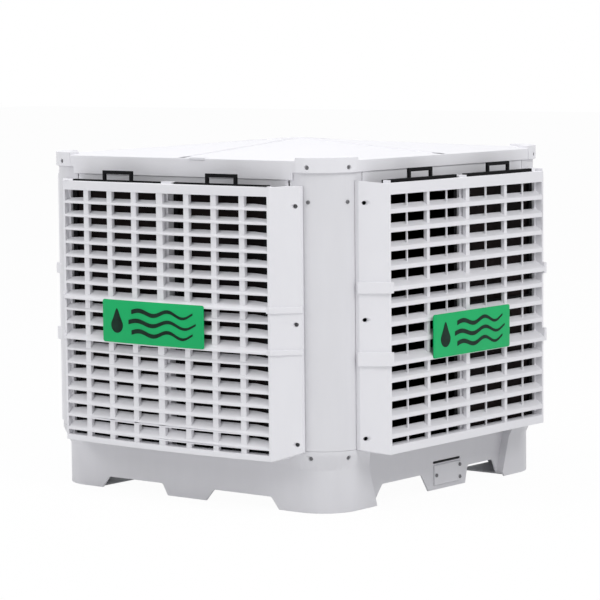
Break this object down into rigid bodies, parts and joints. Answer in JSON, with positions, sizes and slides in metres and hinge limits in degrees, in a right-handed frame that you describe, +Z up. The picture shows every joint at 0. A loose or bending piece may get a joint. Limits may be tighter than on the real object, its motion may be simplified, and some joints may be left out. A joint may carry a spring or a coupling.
{
  "type": "evaporative cooler",
  "caption": "Square evaporative air cooler with louvred intakes on every side, lift-out dust filters, wet pads, a low pyramid cover and a downward fan outlet in a sump base.",
  "frame": {"origin": "centre of the footprint, on the surface the feet stand on", "axes": "+Z up, -Y out of the front (fine louvre) side, +X out of the right (coarse louvre) side"},
  "size_m": [1.1226, 1.1426, 0.9],
  "materials": {
    "white_plastic": "satin moulded polypropylene",
    "black_plastic": "satin moulded",
    "filter_mesh": "woven nylon screen",
    "pad_cellulose": "corrugated, resin treated",
    "plate_green": "flat printed",
    "pipe_pvc": "extruded PVC",
    "pump_plastic": "moulded",
    "float_plastic": "blow moulded",
    "valve_brass": "turned",
    "lever_red": "dipped",
    "steel": "zinc plated",
    "galvanised": "galvanised sheet",
    "motor_grey": "satin paint",
    "fan_plastic": "glass-filled nylon",
    "box_grey": "moulded"
  },
  "bodies": {
    "cabinet": {"base_tray": "white_plastic", "top_cover": "white_plastic", "distributor_tray": "white_plastic", "water_ring_pipe": "pipe_pvc", "riser_pipe": "pipe_pvc", "pump_body": "pump_plastic", "pump_strainer": "pump_plastic", "float_valve_body": "valve_brass", "drain_valve_body": "valve_brass", "inlet_cover_plate": "white_plastic", "outlet_flange": "galvanised", "fan_shroud": "galvanised", "motor_bracket": "galvanised", "motor_housing": "motor_grey", "motor_bolts": "steel", "control_box": "box_grey", "control_box_lid": "box_grey", "cable_gland": "black_plastic", "corner_screws": "steel", "panel_screws": "steel", "plate_screws": "steel", "corner_post_front_right": "white_plastic", "corner_post_back_right": "white_plastic", "corner_post_back_left": "white_plastic", "corner_post_front_left": "white_plastic", "louvre_panel_front": "white_plastic", "cooling_pad_front": "pad_cellulose", "name_plate_front": "plate_green", "louvre_panel_right": "white_plastic", "cooling_pad_right": "pad_cellulose", "name_plate_right": "plate_green", "louvre_panel_back": "white_plastic", "cooling_pad_back": "pad_cellulose", "name_plate_back": "plate_green", "louvre_panel_left": "white_plastic", "cooling_pad_left": "pad_cellulose", "name_plate_left": "plate_green"},
    "fan": {"motor_shaft": "steel", "fan_hub": "fan_plastic", "fan_blades": "fan_plastic"},
    "float": {"float_arm": "valve_brass", "float_ball": "float_plastic"},
    "drain_lever": {"drain_lever": "lever_red"},
    "pump_rotor": {"pump_impeller": "pump_plastic"},
    "filter_front_a": {"dust_filter_frame_front_a": "black_plastic", "dust_filter_mesh_front_a": "filter_mesh"},
    "filter_front_b": {"dust_filter_frame_front_b": "black_plastic", "dust_filter_mesh_front_b": "filter_mesh"},
    "filter_right_a": {"dust_filter_frame_right_a": "black_plastic", "dust_filter_mesh_right_a": "filter_mesh"},
    "filter_right_b": {"dust_filter_frame_right_b": "black_plastic", "dust_filter_mesh_right_b": "filter_mesh"},
    "filter_back_a": {"dust_filter_frame_back_a": "black_plastic", "dust_filter_mesh_back_a": "filter_mesh"},
    "filter_back_b": {"dust_filter_frame_back_b": "black_plastic", "dust_filter_mesh_back_b": "filter_mesh"},
    "filter_left_a": {"dust_filter_frame_left_a": "black_plastic", "dust_filter_mesh_left_a": "filter_mesh"},
    "filter_left_b": {"dust_filter_frame_left_b": "black_plastic", "dust_filter_mesh_left_b": "filter_mesh"}
  },
  "joints": [
    {"name": "fan_spin", "type": "hinge", "parent": "cabinet", "child": "fan", "pos_m": [0, 0, 0.3], "axis": [0, 0, 1], "continuous": true},
    {"name": "pump_spin", "type": "hinge", "parent": "cabinet", "child": "pump_rotor", "pos_m": [0.392, 0.392, 0.075], "axis": [0, 0, 1], "continuous": true},
    {"name": "float_lift", "type": "hinge", "parent": "cabinet", "child": "float", "pos_m": [-0.28, 0.4, 0.098], "axis": [0, -1, 0], "range_deg": [0, 15]},
    {"name": "drain_turn", "type": "hinge", "parent": "cabinet", "child": "drain_lever", "pos_m": [-0.3655, 0.385, 0.033], "axis": [1, 0, 0], "range_deg": [0, 90]},
    {"name": "filter_lift_front_a", "type": "slide", "parent": "cabinet", "child": "filter_front_a", "axis": [0, 0, 1], "range_m": [0, 0.64]},
    {"name": "filter_lift_front_b", "type": "slide", "parent": "cabinet", "child": "filter_front_b", "axis": [0, 0, 1], "range_m": [0, 0.64]},
    {"name": "filter_lift_right_a", "type": "slide", "parent": "cabinet", "child": "filter_right_a", "axis": [0, 0, 1], "range_m": [0, 0.64]},
    {"name": "filter_lift_right_b", "type": "slide", "parent": "cabinet", "child": "filter_right_b", "axis": [0, 0, 1], "range_m": [0, 0.64]},
    {"name": "filter_lift_back_a", "type": "slide", "parent": "cabinet", "child": "filter_back_a", "axis": [0, 0, 1], "range_m": [0, 0.64]},
    {"name": "filter_lift_back_b", "type": "slide", "parent": "cabinet", "child": "filter_back_b", "axis": [0, 0, 1], "range_m": [0, 0.64]},
    {"name": "filter_lift_left_a", "type": "slide", "parent": "cabinet", "child": "filter_left_a", "axis": [0, 0, 1], "range_m": [0, 0.64]},
    {"name": "filter_lift_left_b", "type": "slide", "parent": "cabinet", "child": "filter_left_b", "axis": [0, 0, 1], "range_m": [0, 0.64]}
  ]
}
